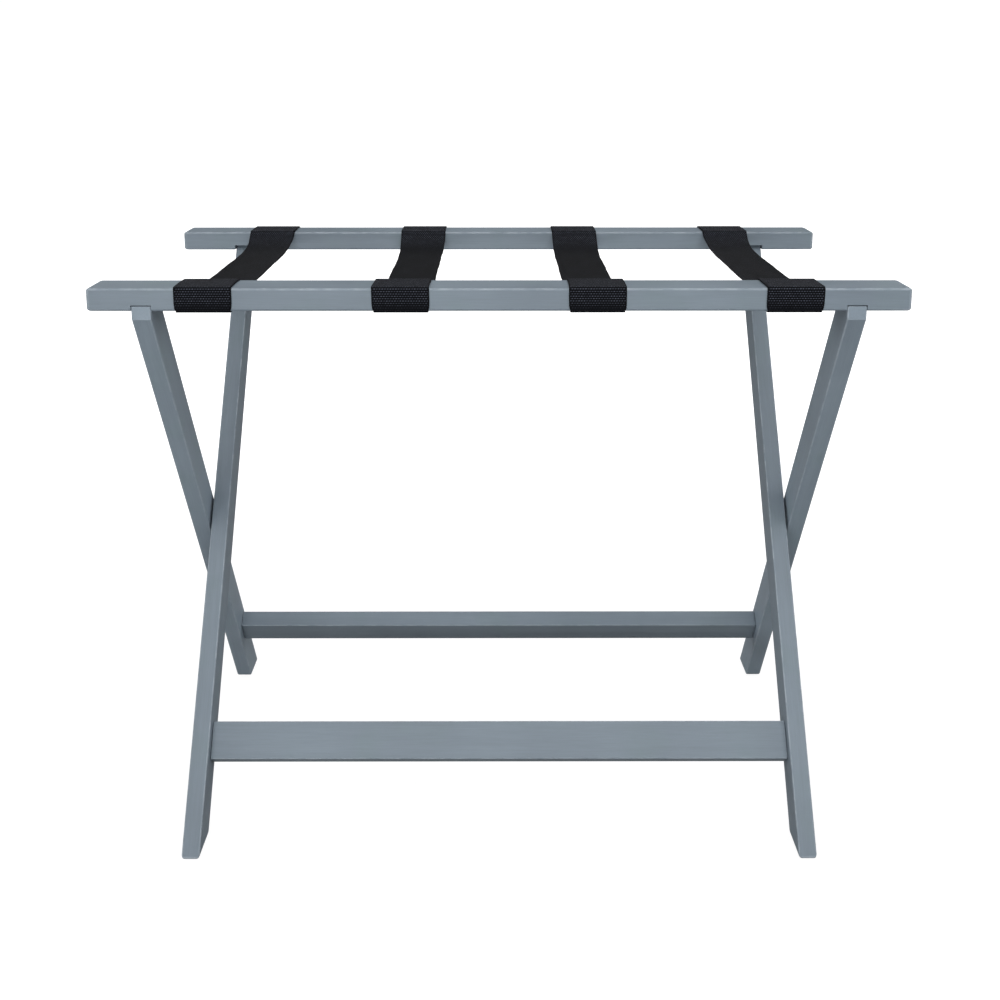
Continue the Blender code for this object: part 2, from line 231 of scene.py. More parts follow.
def shaded(tree, base, factor):
    """The base colour times a grey factor."""
    grey = add_node(tree, "ShaderNodeCombineColor", {0: factor, 1: factor, 2: factor}).outputs[0]
    return mix_colour(tree, 1.0, base, grey, "MULTIPLY")


def paint_material(name, seed, tone_and_light):
    """Satin slate paint over close-grained wood, whose grain runs along the timber."""
    made, tree, shader = new_material(name)
    place = add_node(tree, "ShaderNodeAttribute", attribute_name="grain").outputs["Vector"]
    shift = (seed * 3.1, seed * 1.7, seed * 2.3)
    along = stretched(tree, place, (5, 95, 95), shift)
    fine = stretched(tree, place, (34, 900, 900), shift)
    even = stretched(tree, place, (1, 1, 1), shift)
    band = noise(tree, along, 1.0, 4.0, 0.55)
    pores = noise(tree, fine, 1.0, 5.0, 0.6)
    mottle = noise(tree, even, 9.0, 3.0, 0.5)
    tint = noise(tree, even, 21.0, 2.0, 0.5)
    peel = noise(tree, even, 520.0, 2.0, 0.5)

    # The piece's tone scales every paint colour; it carries painted light as well as random tone.
    dark, light = toned(PAINT_DARK, tone_and_light), toned(PAINT_LIGHT, tone_and_light)
    base = mix_colour(tree, spread(tree, mottle, 0.34, 0.66), dark, light)
    base = mix_colour(tree, spread(tree, tint, 0.52, 0.72, 0.0, 0.55), base, toned(PAINT_GREEN, tone_and_light))
    grained = spread(tree, band, 0.35, 0.65, 0.965, 1.03)
    grained = maths(tree, "MULTIPLY", grained, spread(tree, pores, 0.30, 0.62, 0.94, 1.02))
    base = shaded(tree, base, grained)

    # Rounded edges are lightened towards a pale paint: partly wear, partly a painted highlight along the
    # arrises.
    arris = add_node(tree, "ShaderNodeAttribute", attribute_name="arris").outputs["Fac"]
    patches = spread(tree, noise(tree, even, 75.0, 4.0, 0.6), 0.38, 0.62, 0.25, 1.0)
    worn_and_highlit = maths(tree, "MULTIPLY", arris, patches, clamp=True)
    base = mix_colour(tree, maths(tree, "MULTIPLY", worn_and_highlit, 0.50), base, colour(*PAINT_WORN_AND_HIGHLIGHT))
    tree.links.new(base, shader.inputs["Base Color"])

    rough = spread(tree, mottle, 0.3, 0.7, 0.42, 0.52)
    rough = maths(tree, "ADD", rough, spread(tree, pores, 0.3, 0.7, -0.03, 0.05))
    rough = maths(tree, "SUBTRACT", rough, maths(tree, "MULTIPLY", worn_and_highlit, 0.07))
    tree.links.new(rough, shader.inputs["Roughness"])
    raised = maths(tree, "ADD", maths(tree, "MULTIPLY", peel, 0.45), maths(tree, "MULTIPLY", pores, 0.55))
    normal = bump(tree, raised, 0.16, 0.0003)
    normal = bump(tree, band, 0.10, 0.0006, normal)
    tree.links.new(normal, shader.inputs["Normal"])
    shader.inputs["Specular IOR Level"].default_value = 0.35
    return made


def webbing_material():
    """Black webbing: the raised yarns are painted lighter as a painted highlight and the grooves near black
    as a painted shade; the raised yarns are also smoother.
    """
    made, tree, shader = new_material("webbing_black")
    flat = add_node(tree, "ShaderNodeUVMap", uv_map="cloth").outputs[0]
    relief = add_node(tree, "ShaderNodeAttribute", attribute_name="relief").outputs["Fac"]
    fibres = noise(tree, stretched(tree, flat, (5200, 700, 1)), 1.0, 4.0, 0.65)
    twist = noise(tree, stretched(tree, flat, (1700, 950, 1)), 1.0, 3.0, 0.5)
    cloud = noise(tree, stretched(tree, flat, (60, 25, 1)), 1.0, 3.0, 0.5)
    # Painted light: a grey painted highlight on the raised yarns and a near-black painted shade in the
    # grooves.
    crown = maths(tree, "POWER", relief, 4.4)
    yarn = mix_colour(tree, crown, colour(*YARN_GROOVE_SHADE), colour(*YARN_CROWN_HIGHLIGHT))
    dusty = mix_colour(tree, spread(tree, cloud, 0.45, 0.75, 0.0, 0.18), yarn, colour(*YARN_DUSTY))
    thread = spread(tree, fibres, 0.3, 0.7, 0.70, 1.25)
    tree.links.new(shaded(tree, dusty, thread), shader.inputs["Base Color"])
    rough = spread(tree, relief, 0.3, 1.0, 0.92, 0.46)
    rough = maths(tree, "ADD", rough, spread(tree, fibres, 0.3, 0.7, -0.05, 0.06))
    tree.links.new(rough, shader.inputs["Roughness"])
    height = maths(tree, "ADD", maths(tree, "MULTIPLY", fibres, 0.6), maths(tree, "MULTIPLY", twist, 0.4))
    tree.links.new(bump(tree, height, 0.5, 0.00018), shader.inputs["Normal"])
    shader.inputs["Specular IOR Level"].default_value = 0.12
    return made


def steel_material(name, seed):
    """Bright zinc plating with fine turning marks and a few duller patches."""
    made, tree, shader = new_material(name)
    place = add_node(tree, "ShaderNodeTexCoord").outputs["Object"]
    shift = (seed * 0.7, seed * 1.3, seed * 0.9)
    patch = noise(tree, stretched(tree, place, (1, 1, 1), shift), 420.0, 3.0, 0.6)
    scratch = noise(tree, stretched(tree, place, (6000, 900, 900), shift), 1.0, 3.0, 0.6)
    dull, bright = colour(0.56, 0.57, 0.59), colour(0.70, 0.70, 0.71)
    base = mix_colour(tree, spread(tree, patch, 0.35, 0.7), dull, bright)
    tree.links.new(base, shader.inputs["Base Color"])
    rough = spread(tree, patch, 0.3, 0.7, 0.24, 0.38)
    rough = maths(tree, "ADD", rough, spread(tree, scratch, 0.3, 0.7, -0.04, 0.06))
    tree.links.new(rough, shader.inputs["Roughness"])
    tree.links.new(bump(tree, scratch, 0.15, 0.00005), shader.inputs["Normal"])
    shader.inputs["Metallic"].default_value = 1.0
    return made


def beech_material():
    """Bare beech of the dowels: pale, with short dark flecks along the piece."""
    made, tree, shader = new_material("beech_bare")
    place = add_node(tree, "ShaderNodeTexCoord").outputs["Object"]
    grain = noise(tree, stretched(tree, place, (60, 420, 420)), 1.0, 5.0, 0.6)
    fleck = noise(tree, stretched(tree, place, (300, 1900, 1900)), 1.0, 3.0, 0.6)
    base = mix_colour(tree, spread(tree, grain, 0.3, 0.7), colour(0.47, 0.30, 0.17), colour(0.66, 0.48, 0.31))
    base = mix_colour(tree, spread(tree, fleck, 0.60, 0.74, 0.0, 0.6), base, colour(0.26, 0.15, 0.08))
    tree.links.new(base, shader.inputs["Base Color"])
    tree.links.new(spread(tree, grain, 0.3, 0.7, 0.55, 0.70), shader.inputs["Roughness"])
    tree.links.new(bump(tree, fleck, 0.3, 0.0002), shader.inputs["Normal"])
    return made


# Mesh helpers


def to_object(name, shape, finish, matrix=None):
    bmesh.ops.recalc_face_normals(shape, faces=shape.faces)
    mesh = bpy.data.meshes.new(name)
    shape.to_mesh(mesh)
    shape.free()
    made = bpy.data.objects.new(name, mesh)
    bpy.context.scene.collection.objects.link(made)
    if matrix is not None:
        made.matrix_world = matrix
    if finish is not None:
        mesh.materials.append(finish)
    return made


def settle(obj):
    """Makes what the object's modifiers give its own mesh."""
    bpy.context.view_layer.update()
    graph = bpy.context.evaluated_depsgraph_get()
    mesh = bpy.data.meshes.new_from_object(obj.evaluated_get(graph))
    old = obj.data
    obj.modifiers.clear()
    obj.data = mesh
    bpy.data.meshes.remove(old)
    return obj


def carve(obj, tools):
    for tool in tools:
        modifier = obj.modifiers.new("cut", "BOOLEAN")
        modifier.operation = "DIFFERENCE"
        modifier.solver = "EXACT"
        modifier.object = tool
    settle(obj)
    for tool in tools:
        bpy.data.objects.remove(tool, do_unlink=True)


def prism(outline, low, high):
    """An outline of (x, y) points between two heights on Z."""
    shape = bmesh.new()
    face = shape.faces.new([shape.verts.new((x, y, low)) for x, y in outline])
    grown = bmesh.ops.extrude_face_region(shape, geom=[face])["geom"]
    moved = [item for item in grown if isinstance(item, bmesh.types.BMVert)]
    bmesh.ops.translate(shape, verts=moved, vec=(0, 0, high - low))
    return shape


def rounded_rectangle(half_x, half_y, radius, steps):
    """Points (x, y) round a rectangle whose corners are arcs, counter-clockwise."""
    points = []
    for side_x, side_y, start in ((1, 1, 0), (-1, 1, 90), (-1, -1, 180), (1, -1, 270)):
        x, y = side_x * (half_x - radius), side_y * (half_y - radius)
        for step in range(steps + 1):
            turn = math.radians(start + 90 / steps * step)
            points.append((x + radius * math.cos(turn), y + radius * math.sin(turn)))
    return points


def round_off(shape, edges, width):
    bmesh.ops.bevel(
        shape,
        geom=edges,
        offset=width,
        offset_type="OFFSET",
        segments=ARRIS_SEGMENTS,
        profile=0.5,
        affect="EDGES",
        clamp_overlap=True,
    )


def round_by_weight(obj, width):
    """Rounds each edge to its own bevel weight times the width."""
    rounding = obj.modifiers.new("rounding", "BEVEL")
    rounding.limit_method = "WEIGHT"
    rounding.width = width
    rounding.segments = ARRIS_SEGMENTS
    settle(obj)


def mark_arrises(mesh):
    """An attribute that is 1 on rounded edges and 0 on the flats between them."""
    flat = np.zeros(len(mesh.vertices), bool)
    for face in mesh.polygons:
        corners = [mesh.vertices[i].co for i in face.vertices]
        around = sum((a - b).length for a, b in zip(corners, corners[1:] + corners[:1]))
        if 2 * face.area / around > ARRIS_STRIP:
            flat[list(face.vertices)] = True
    attribute = mesh.attributes.new("arris", "FLOAT", "POINT")
    attribute.data.foreach_set("value", np.where(flat, 0.0, 1.0).astype(np.float32))


def lay_grain(piece):
    """Keeps the timber's own axes as the attribute "grain", then turns the mesh and not the object."""
    mesh = piece.data
    places = np.empty(len(mesh.vertices) * 3, np.float32)
    mesh.vertices.foreach_get("co", places)
    mesh.attributes.new("grain", "FLOAT_VECTOR", "POINT").data.foreach_set("vector", places)
    bpy.context.view_layer.update()
    place, turn, _ = piece.matrix_world.decompose()
    mesh.transform(turn.to_matrix().to_4x4())
    piece.matrix_world = Matrix.Translation(place)


def box_tool(size, place):
    shape = bmesh.new()
    bmesh.ops.create_cube(shape, size=1.0)
    bmesh.ops.scale(shape, verts=shape.verts, vec=size)
    tool = to_object("tool", shape, None, Matrix.Translation(place))
    tool.hide_render = True
    return tool


def finish_timber(piece, node, body):
    mark_arrises(piece.data)
    lay_grain(piece)
    shade_by_angle(piece, SHADE_ANGLE)
    weighted = piece.modifiers.new("even shading", "WEIGHTED_NORMAL")
    weighted.keep_sharp = True
    settle(piece)
    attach(piece, body)
    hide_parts(node)
    return piece


def make_rail(node, body, leg_names, finish):
    low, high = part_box(node)
    middle = (low + high) / 2
    half = (high - low) / 2
    outline = rounded_rectangle(half.x, half.y, RAIL_END_EDGE, RAIL_CORNER_STEPS)
    shape = prism(outline, -half.z, half.z)
    widths = shape.edges.layers.float.new("bevel_weight_edge")
    for edge in shape.edges:
        run = edge.verts[1].co - edge.verts[0].co
        if abs(run.z) < half.z:
            facing_end = abs(run.y) / run.length
            edge[widths] = (RAIL_EDGE + (RAIL_END_EDGE - RAIL_EDGE) * facing_end) / RAIL_END_EDGE
    rail = to_object(node + "_timber", shape, finish, Matrix.Translation(middle))
    round_by_weight(rail, RAIL_END_EDGE)
    tools = []
    for leg in leg_names:
        leg_low, leg_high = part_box(leg)
        size = (LEG_THICKNESS + 2 * GAP, (high.y - low.y) * 1.2, 2 * NOTCH_DEPTH)
        tools.append(box_tool(size, ((leg_low.x + leg_high.x) / 2, middle.y, RAIL_BOTTOM)))
    carve(rail, tools)
    return finish_timber(rail, node, body)


def leg_matrix(x, lean):
    """The leg's own frame: X up along it, Y across it to the back, with the pivot at the origin."""
    sine, cosine = math.sin(LEG_LEAN), math.cos(LEG_LEAN)
    along = Vector((0, lean * sine, cosine))
    across = Vector((0, cosine, -lean * sine))
    third = along.cross(across)
    rotation = Matrix((along, across, third)).transposed().to_4x4()
    return Matrix.Translation((x, 0, PIVOT_HEIGHT)) @ rotation


def make_leg(node, body, lean, finish):
    low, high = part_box(node)
    matrix = leg_matrix((low.x + high.x) / 2, lean)
    slope = math.tan(LEG_LEAN)
    sole = -PIVOT_HEIGHT
    top = LEG_TOP - PIVOT_HEIGHT
    flush = (HALF_DEPTH - LEG_HALF) / slope
    places = [
        (sole * slope - LEG_HALF, sole),
        (sole * slope + LEG_HALF, sole),
        (HALF_DEPTH, flush),
        (HALF_DEPTH, top),
        (top * slope - LEG_HALF, top),
    ]
    inverse = matrix.inverted()
    outline = [inverse @ Vector((matrix.translation.x, lean * y, PIVOT_HEIGHT + z)) for y, z in places]
    shape = prism([(p.x, p.y) for p in outline], -LEG_THICKNESS / 2, LEG_THICKNESS / 2)
    widths = shape.edges.layers.float.new("bevel_weight_edge")
    for edge in shape.edges:
        heights = [(matrix @ point.co).z for point in edge.verts]
        is_upright = abs(edge.verts[0].co.z - edge.verts[1].co.z) > LEG_THICKNESS / 2
        if max(heights) < 0.001:
            width = SOLE_EDGE if is_upright else SOLE_RIM
        elif min(heights) > RAIL_BOTTOM + 0.001 or is_upright:
            width = HEAD_EDGE
        else:
            width = LEG_EDGE
        edge[widths] = width / SOLE_EDGE
    leg = to_object(node + "_timber", shape, finish, matrix)
    round_by_weight(leg, SOLE_EDGE)
    return finish_timber(leg, node, body)


def make_stretcher(node, body, lean, finish):
    low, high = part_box(node)
    middle = (low + high) / 2
    half_x, half_y = (high.x - low.x) / 2, STRETCHER_THICKNESS / 2
    half_z = STRETCHER_HEIGHTS[node] / 2
    outline = [(-half_x, -half_y), (half_x, -half_y), (half_x, half_y), (-half_x, half_y)]
    shape = prism(outline, -half_z, half_z)
    round_off(shape, list(shape.edges), STRETCHER_EDGE)
    matrix = Matrix.Translation(middle) @ Matrix.Rotation(-lean * LEG_LEAN, 4, "X")
    return finish_timber(to_object(node + "_timber", shape, finish, matrix), node, body)


# Webbing


def arc_points(centre, radius, start, end, steps):
    turns = np.radians(np.linspace(start, end, steps + 1))
    return np.stack([centre[0] + radius * np.cos(turns), centre[1] + radius * np.sin(turns)], 1)


def strap_line(sag):
    """Dense points of the strap's middle layer in (y, z), from under the front rail to under the rear one."""
    half = STRAP_THICKNESS / 2 + GAP
    radius = RAIL_EDGE + half
    outer = -HALF_DEPTH + RAIL_EDGE
    inner = RAIL_BACK - RAIL_EDGE
    lowest = RAIL_TOP + half - sag
    angle = 0.2
    for _ in range(20):
        y_end = inner + radius * math.sin(angle)
        z_end = RAIL_TOP - RAIL_EDGE + radius * math.cos(angle)
        angle = math.atan(SAG_POWER * (z_end - lowest) / -y_end)
    y_end = inner + radius * math.sin(angle)
    z_end = RAIL_TOP - RAIL_EDGE + radius * math.cos(angle)
    parts = [
        np.array([(-HALF_DEPTH + STRAP_TAIL, RAIL_BOTTOM - half)]),
        arc_points((outer, RAIL_BOTTOM + RAIL_EDGE), radius, 270, 180, 24),
        arc_points((outer, RAIL_TOP - RAIL_EDGE), radius, 180, 90, 24),
        arc_points((inner, RAIL_TOP - RAIL_EDGE), radius, 90, 90 - math.degrees(angle), 6),
    ]
    y = np.linspace(y_end, 0, 300)[1:]
    parts.append(np.stack([y, lowest + (z_end - lowest) * (y / y_end) ** SAG_POWER], 1))
    half_line = np.concatenate(parts)
    other = half_line[:-1][::-1] * np.array([-1.0, 1.0])
    return np.concatenate([half_line, other])


def curled(w, h, half, curl):
    """A flat section's points once its edges turn up: the slope grows with the square of the way out."""
    u = np.clip(w / half, -1, 1)
    beyond = w - u * half
    slope = curl * u * np.abs(u)
    out = half * (u - curl**2 * u**5 / 10 + curl**4 * u**9 / 216)
    up = half * np.abs(curl * u**3 / 3 - curl**3 * u**7 / 42)
    aside = out + beyond * np.cos(slope) - h * np.sin(slope)
    rise = h * np.cos(slope) + up + np.abs(beyond) * np.sin(np.abs(slope))
    return aside, rise


def make_strap(node, number, finish):
    low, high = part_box(node)
    x_middle = (low.x + high.x) / 2
    rng = np.random.default_rng(STRAP_SEED + number)
    line = strap_line(STRAP_SAGS[number])
    steps = np.linalg.norm(np.diff(line, axis=0), axis=1)
    walked = np.concatenate([[0.0], np.cumsum(steps)])
    length = walked[-1]
    rows = int(round(length / RIB_PITCH)) * ROWS_PER_RIB + 1
    s = np.linspace(0, length, rows)
    centre = np.stack([np.interp(s, walked, line[:, 0]), np.interp(s, walked, line[:, 1])], 1)
    tangent = np.gradient(centre, s, axis=0)
    tangent /= np.linalg.norm(tangent, axis=1)[:, None]
    normal = np.stack([-tangent[:, 1], tangent[:, 0]], 1)

    rib = s / (length / round(length / RIB_PITCH))
    rib_number = np.round(rib).astype(int)
    ridge = 0.5 + 0.5 * np.cos(2 * math.pi * rib)
    half_width = STRAP_WIDTH / 2 - SELVEDGE_INSET + SELVEDGE_WAVE * np.cos(2 * math.pi * rib)
    from_face = np.abs(centre[:, 1] - RAIL_BOTTOM)
    tuck = sum(depth * np.exp(-((from_face / reach) ** 2)) for depth, reach in TUCKS)
    wander = sum(size * np.sin(s * waves + turn * number) for size, waves, turn in WANDERS)
    into_span = np.clip((-RAIL_BACK - np.abs(centre[:, 0])) / CURL_REACH, 0, 1)
    loose = into_span * into_span * (3 - 2 * into_span)
    half_width = (half_width - tuck) * (1 - NECKINGS[number] * loose)

    across = np.linspace(-1, 1, TOP_COLUMNS)
    flat_half = half_width - SELVEDGE_RADIUS
    w_top = across[None, :] * flat_half[:, None]
    column = np.arange(TOP_COLUMNS)
    checker = np.where((column[None, :] + rib_number[:, None]) % 2 == 0, 1.0, 0.0)
    chances = rng.random((rows // ROWS_PER_RIB + 2, TOP_COLUMNS))
    uneven = 1 + UNEVENNESS * (chances[rib_number] - 0.5)
    relief = ridge[:, None] * (LOW_YARN + (1 - LOW_YARN) * checker) * uneven
    inside = np.clip((1 - np.abs(across)) / 0.05, 0, 1)
    relief = relief * (SELVEDGE_HEIGHT + (1 - SELVEDGE_HEIGHT) * inside[None, :])
    above = np.clip((centre[:, 1] - RAIL_BOTTOM) / UNDER_REACH, 0, 1)
    relief = relief * (UNDER_HEIGHT + (1 - UNDER_HEIGHT) * above[:, None])
    relief = relief * (1 - SPAN_FLATTENING * loose[:, None])
    ends = np.clip(np.minimum(s, length - s) / END_LENGTH, 0, 1) ** 0.5
    base = (STRAP_THICKNESS / 2 - RELIEF) * (END_THINNESS + (1 - END_THINNESS) * ends)
    h_top = base[:, None] + RELIEF * relief * ends[:, None]
    h_low = -(base[:, None] + RELIEF * np.roll(relief, ROWS_PER_RIB // 2, axis=0) * ends[:, None])

    turn = np.pi * (np.arange(1, EDGE_STEPS + 1)) / (EDGE_STEPS + 1)
    side_w = flat_half[:, None] + SELVEDGE_RADIUS * np.sin(turn)[None, :]
    side_h = base[:, None] * np.cos(turn)[None, :]
    side_relief = np.repeat(ridge[:, None] * 0.6, EDGE_STEPS, axis=1)
    w = np.concatenate([w_top, side_w, w_top[:, ::-1], -side_w], axis=1)
    h = np.concatenate([h_top, side_h, h_low[:, ::-1], -side_h], axis=1)
    shade = np.concatenate([relief, side_relief, relief[:, ::-1], side_relief], axis=1)
    around = w.shape[1]

    aside, rise = curled(w, h, flat_half[:, None], STRAP_CURLS[number] * loose[:, None])
    points = np.empty((rows, around, 3))
    points[:, :, 0] = x_middle + aside + wander[:, None]
    points[:, :, 1] = centre[:, 0, None] + normal[:, 0, None] * rise
    points[:, :, 2] = centre[:, 1, None] + normal[:, 1, None] * rise

    k = np.arange(around)
    k_next = (k + 1) % around
    row = np.arange(rows - 1)[:, None] * around
    quads = np.stack([row + k, row + k_next, row + around + k_next, row + around + k], axis=2).reshape(-1, 4)
    faces = [tuple(f) for f in quads.tolist()]
    faces += end_faces(0, TOP_COLUMNS, EDGE_STEPS, False)
    faces += end_faces((rows - 1) * around, TOP_COLUMNS, EDGE_STEPS, True)

    mesh = bpy.data.meshes.new(node + "_webbing")
    mesh.from_pydata(points.reshape(-1, 3).tolist(), [], faces)
    mesh.polygons.foreach_set("use_smooth", np.ones(len(faces), bool))
    attribute = mesh.attributes.new("relief", "FLOAT", "POINT")
    attribute.data.foreach_set("value", shade.ravel().astype(np.float32))
    corner = np.empty(len(mesh.loops), np.int32)
    mesh.loops.foreach_get("vertex_index", corner)
    flat = np.stack([w.ravel(), np.repeat(s, around)], 1)[corner]
    mesh.uv_layers.new(name="cloth").data.foreach_set("uv", flat.astype(np.float32).ravel())
    mesh.materials.append(finish)
    mesh.validate()
    mesh.update()
    strap = bpy.data.objects.new(node + "_webbing", mesh)
    bpy.context.scene.collection.objects.link(strap)
    turn_out(strap)
    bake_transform(strap)
    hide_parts(node)
    return strap


def end_faces(first, columns, steps, flip):
    """Faces that close one end of the strap, between its upper and its lower points."""
    half_side = steps // 2
    right = columns
    lower = columns + steps
    left = 2 * columns + steps
    pairs = [(left + half_side, left + half_side)]
    pairs += [(left + steps - 1 - i, left + i) for i in reversed(range(half_side))]
    pairs += [(i, lower + columns - 1 - i) for i in range(columns)]
    pairs += [(right + i, right + steps - 1 - i) for i in range(half_side)]
    pairs += [(right + half_side, right + half_side)]
    found = []
    for (a, b), (c, d) in zip(pairs, pairs[1:]):
        face = [a, b, d, c]
        face = [first + p for i, p in enumerate(face) if p not in face[:i]]
        found.append(tuple(reversed(face)) if flip else tuple(face))
    return found


def turn_out(obj):
    shape = bmesh.new()
    shape.from_mesh(obj.data)
    bmesh.ops.recalc_face_normals(shape, faces=shape.faces)
    shape.to_mesh(obj.data)
    shape.free()


# Hardware


def turned(profile, sides=64):
    """A solid of revolution about X from (x, radius) points, closed by its last edge."""
    shape = bmesh.new()
    points = [shape.verts.new((x, radius, 0)) for x, radius in profile]
    edges = [shape.edges.new((a, b)) for a, b in zip(points, points[1:] + points[:1])]
    bmesh.ops.spin(
        shape,
        geom=points + edges,
        cent=(0, 0, 0),
        axis=(1, 0, 0),
        angle=math.tau,
        steps=sides,
        use_merge=True,
    )
    bmesh.ops.remove_doubles(shape, verts=shape.verts, dist=1e-7)
    bmesh.ops.dissolve_degenerate(shape, edges=shape.edges, dist=1e-8)
    return shape


def shade_by_angle(obj, degrees=35):
    obj.data.shade_smooth()
    obj.data.set_sharp_from_angle(angle=math.radians(degrees))


def key_cutter(radius_low, radius_high, sides, depth, matrix):
    shape = bmesh.new()
    bmesh.ops.create_cone(
        shape, cap_ends=True, segments=sides, radius1=radius_low, radius2=radius_high, depth=depth
    )
    return to_object("tool", shape, None, matrix)


def make_bolt(node, finish):
    """The bolt's head is domed, rolled under at its rim, and has a hexagon socket with a lead-in."""
    low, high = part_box(node)
    side = 1 if low.x > 0 else -1
    seat = (high.x if side > 0 else -low.x) - BOLT_HEAD_HEIGHT
    tip = low.x if side > 0 else -high.x
    radius = BOLT_HEAD_RADIUS
    profile = [(BOLT_HEAD_HEIGHT, 0.0)]
    for step in range(1, 15):
        turn = math.radians(6 * step)
        profile.append((0.0007 + (BOLT_HEAD_HEIGHT - 0.0007) * math.cos(turn), radius * math.sin(turn)))
    profile += [(0.0005, radius), (0.00015, radius - 0.00012), (0.0, radius - 0.0004), (0.0, BOLT_RADIUS)]
    length = seat - tip
    profile += [(-length + 0.0006, BOLT_RADIUS), (-length, BOLT_RADIUS - 0.0006), (-length, 0.0)]
    shape = turned([(side * x, r) for x, r in profile])
    bolt = to_object(node + "_domed", shape, finish, Matrix.Translation((side * seat, 0, PIVOT_HEIGHT)))
    corner = HEX_KEY / math.sqrt(3)
    place = Matrix.Translation((side * (seat + BOLT_HEAD_HEIGHT), 0, PIVOT_HEIGHT))
    turn = Matrix.Rotation(math.pi / 2, 4, "Y")
    key = key_cutter(corner, corner, 6, 2 * HEX_KEY_DEPTH, place @ turn)
    lead_turn = Matrix.Rotation(-side * math.pi / 2, 4, "Y")
    lead_in = key_cutter(corner + 0.0004, corner - 0.0003, 48, 0.0007, place @ lead_turn)
    carve(bolt, [key, lead_in])
    shade_by_angle(bolt, HARDWARE_ANGLE)
    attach(bolt, "inner_frame")
    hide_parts(node)
    return bolt


def make_washer(node, finish):
    low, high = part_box(node)
    middle = (low + high) / 2
    half = (high.x - low.x) / 2
    radius = (high.z - low.z) / 2
    bore, cut = WASHER_BORE, WASHER_CUT
    profile = [
        (-half, bore + cut),
        (-half, radius - cut),
        (-half + cut, radius),
        (half - cut, radius),
        (half, radius - cut),
        (half, bore + cut),
        (half - cut, bore),
        (-half + cut, bore),
    ]
    washer = to_object(node + "_turned", turned(profile), finish, Matrix.Translation(middle))
    shade_by_angle(washer, HARDWARE_ANGLE)
    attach(washer, "outer_frame")
    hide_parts(node)
    return washer


def make_staple(node, body, finish):
    """A staple of flattened wire with rounded shoulders, its crown across the strap."""
    low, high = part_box(node)
    middle = (low + high) / 2
    half_crown = max(high.x - low.x, high.y - low.y) / 2 - WIRE_THICKNESS / 2
    shoulder = STAPLE_SHOULDER
    bottom = low.z + WIRE_THICKNESS / 2
    top = high.z
    path = [(-half_crown, top), (-half_crown, bottom + shoulder)]
    for step in range(1, 7):
        turn = math.radians(180 + 15 * step)
        centre = (-half_crown + shoulder, bottom + shoulder)
        path.append((centre[0] + shoulder * math.cos(turn), centre[1] + shoulder * math.sin(turn)))
    path += [(-x, z) for x, z in reversed(path)]
    section = rounded_rectangle(WIRE_WIDTH / 2, WIRE_THICKNESS / 2, WIRE_EDGE, 3)
    shape = bmesh.new()
    rings = []
    for index, (x, z) in enumerate(path):
        before = path[max(index - 1, 0)]
        after = path[min(index + 1, len(path) - 1)]
        run = Vector((after[0] - before[0], 0, after[1] - before[1])).normalized()
        out = Vector((-run.z, 0, run.x))
        pinch = 0.35 if index in (0, len(path) - 1) else 1.0
        rings.append(
            [shape.verts.new(Vector((x, 0, z)) + out * (b * pinch) + Vector((0, a, 0))) for a, b in section]
        )
    for ring, other in zip(rings, rings[1:]):
        for i in range(len(section)):
            j = (i + 1) % len(section)
            shape.faces.new((ring[i], ring[j], other[j], other[i]))
    shape.faces.new(rings[0])
    shape.faces.new(rings[-1])
    staple = to_object(node + "_wire", shape, finish, Matrix.Translation((middle.x, middle.y, 0)))
    shade_by_angle(staple, 40)
    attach(staple, body)
    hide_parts(node)
    return staple


# Stage


def make_floor():
    shape = bmesh.new()
    bmesh.ops.create_circle(shape, cap_ends=True, segments=96, radius=9.0)
    made, tree, shader = new_material("floor_white")
    tree.nodes.remove(shader)
    out = tree.nodes["Material Output"]
    seen = add_node(tree, "ShaderNodeLightPath").outputs["Is Camera Ray"]
    place = add_node(tree, "ShaderNodeTexCoord").outputs["Object"]
    away = add_node(tree, "ShaderNodeVectorMath", {0: place}, operation="LENGTH").outputs["Value"]
    fade = spread(tree, away, 0.35, 1.6, 0.62, 1.0)
    lit = add_node(tree, "ShaderNodeBsdfDiffuse", {"Color": colour(0.33, 0.33, 0.33)}).outputs[0]
    glow = add_node(tree, "ShaderNodeEmission", {"Color": colour(1, 1, 1), "Strength": 1.5}).outputs[0]
    share = maths(tree, "MULTIPLY", fade, seen)
    both = add_node(tree, "ShaderNodeMixShader", {0: share, 1: lit, 2: glow}).outputs[0]
    tree.links.new(both, out.inputs["Surface"])
    floor = to_object("floor", shape, made, Matrix.Translation((0, 0, -0.0004)))


def make_world():
    world = bpy.data.worlds.new("studio")
    bpy.context.scene.world = world
    world.use_nodes = True
    tree = world.node_tree
    background = tree.nodes["Background"]
    seen = add_node(tree, "ShaderNodeLightPath").outputs["Is Camera Ray"]
    sky = add_node(tree, "ShaderNodeTexCoord").outputs["Generated"]
    height = add_node(tree, "ShaderNodeSeparateXYZ", {0: sky}).outputs["Z"]
    dome = spread(tree, height, 0.05, 0.9, 0.03, 0.20)
    strength = maths(tree, "ADD", seen, dome)
    tree.links.new(strength, background.inputs["Strength"])
    background.inputs["Color"].default_value = colour(1, 1, 1)


def softbox(name, place, target, size, power):
    data = bpy.data.lights.new(name, "AREA")
    data.shape = "RECTANGLE"
    data.size, data.size_y = size
    data.energy = power
    light = bpy.data.objects.new(name, data)
    bpy.context.scene.collection.objects.link(light)
    light.location = place
    aim = Vector(target) - Vector(place)
    light.rotation_euler = aim.to_track_quat("-Z", "Y").to_euler()


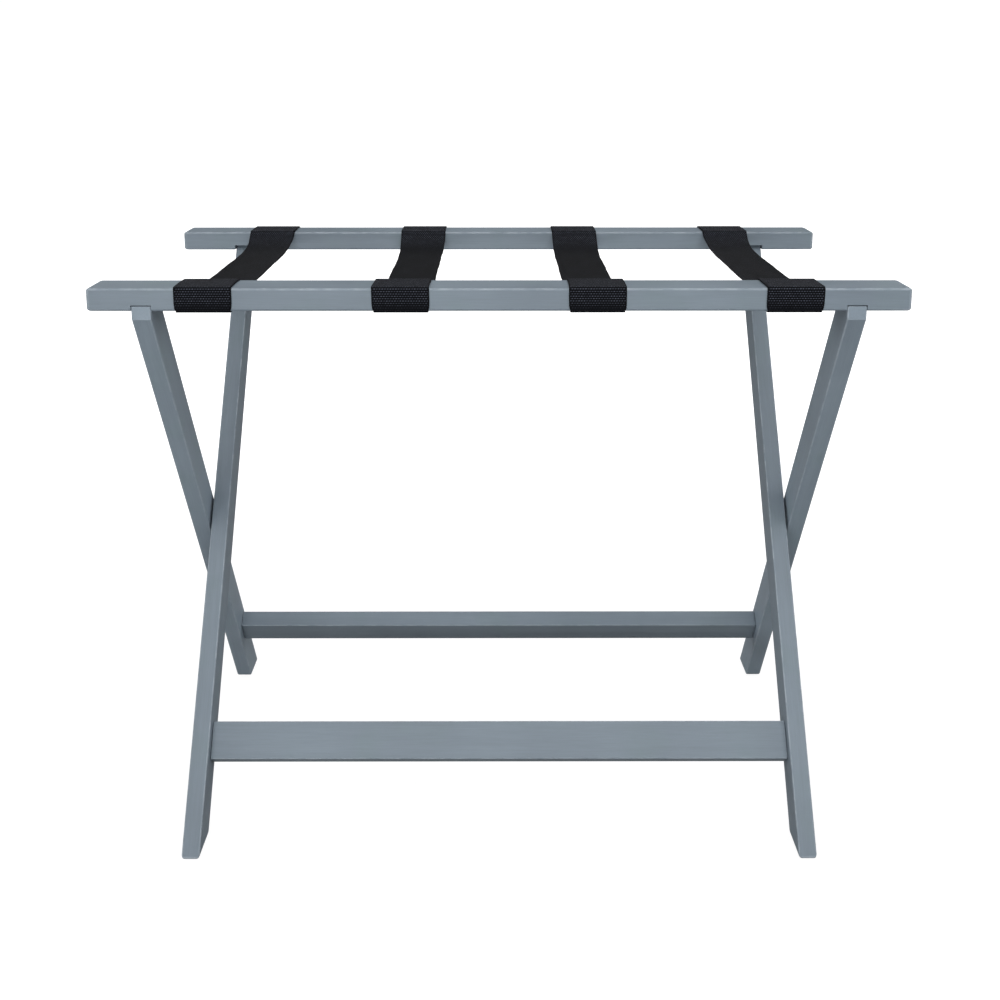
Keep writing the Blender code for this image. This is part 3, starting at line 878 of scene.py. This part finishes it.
def make_studio():
    make_floor()
    make_world()
    centre = (0, 0, 0.28)
    softbox("key", (0.20, -1.75, 2.05), centre, (3.2, 1.4), 45)
    softbox("front", (-0.5, -2.8, 0.28), centre, (3.0, 0.35), 28)
    softbox("top", (0.0, 0.8, 2.6), centre, (1.8, 1.2), 17)
    softbox("back_left", (-1.8, 1.7, 1.5), centre, (1.2, 1.2), 15)
    softbox("back_right", (1.8, 1.7, 1.5), centre, (1.2, 1.2), 15)
    softbox("side_left", (-2.8, -0.2, 0.9), centre, (1.4, 1.4), 20)
    softbox("side_right", (2.8, -0.2, 0.9), centre, (1.4, 1.4), 20)
    bpy.context.scene.view_settings.view_transform = "Standard"


def main():
    make_camera()
    make_studio()

    # Paint tone per piece, partly random tone and partly painted light: the outer legs are painted about a
    # quarter lighter and the inner legs a little darker, standing for the light and shade on their fronts.
    tones_and_painted_light = {
        "front_rail": 1.0,
        "rear_rail": 0.98,
        "outer_leg_left": 1.26,
        "outer_leg_right": 1.24,
        "inner_leg_left": 0.92,
        "inner_leg_right": 0.94,
        "front_stretcher": 0.97,
        "rear_stretcher": 1.04,
    }
    paints = {
        name: paint_material("slate_paint_" + name, seed, tone_and_light)
        for seed, (name, tone_and_light) in enumerate(tones_and_painted_light.items(), start=1)
    }
    make_rail("front_rail", "outer_frame", ("outer_leg_left", "outer_leg_right"), paints["front_rail"])
    make_rail("rear_rail", "inner_frame", ("inner_leg_left", "inner_leg_right"), paints["rear_rail"])
    for side in ("left", "right"):
        make_leg(f"outer_leg_{side}", "outer_frame", -1, paints[f"outer_leg_{side}"])
        make_leg(f"inner_leg_{side}", "inner_frame", 1, paints[f"inner_leg_{side}"])
    make_stretcher("front_stretcher", "inner_frame", 1, paints["front_stretcher"])
    make_stretcher("rear_stretcher", "outer_frame", -1, paints["rear_stretcher"])

    webbing = webbing_material()
    for number, node in enumerate(STRAP_NAMES):
        make_strap(node, number, webbing)

    steel = steel_material("zinc_plate", 1)
    beech = beech_material()
    for side in ("left", "right"):
        make_bolt("pivot_bolt_" + side, steel)
        make_washer("pivot_washer_" + side, steel)
    for strap in STRAP_NAMES:
        for end, body in (("front", "outer_frame"), ("rear", "inner_frame")):
            for number in (1, 2):
                make_staple(f"{strap}_staple_{end}_{number}", body, steel)
    for name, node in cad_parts.items():
        finish = beech if "dowel" in name else steel
        if not node.hide_render:
            node.data.materials.clear()
            node.data.materials.append(finish)
            shade_by_angle(node)


main()
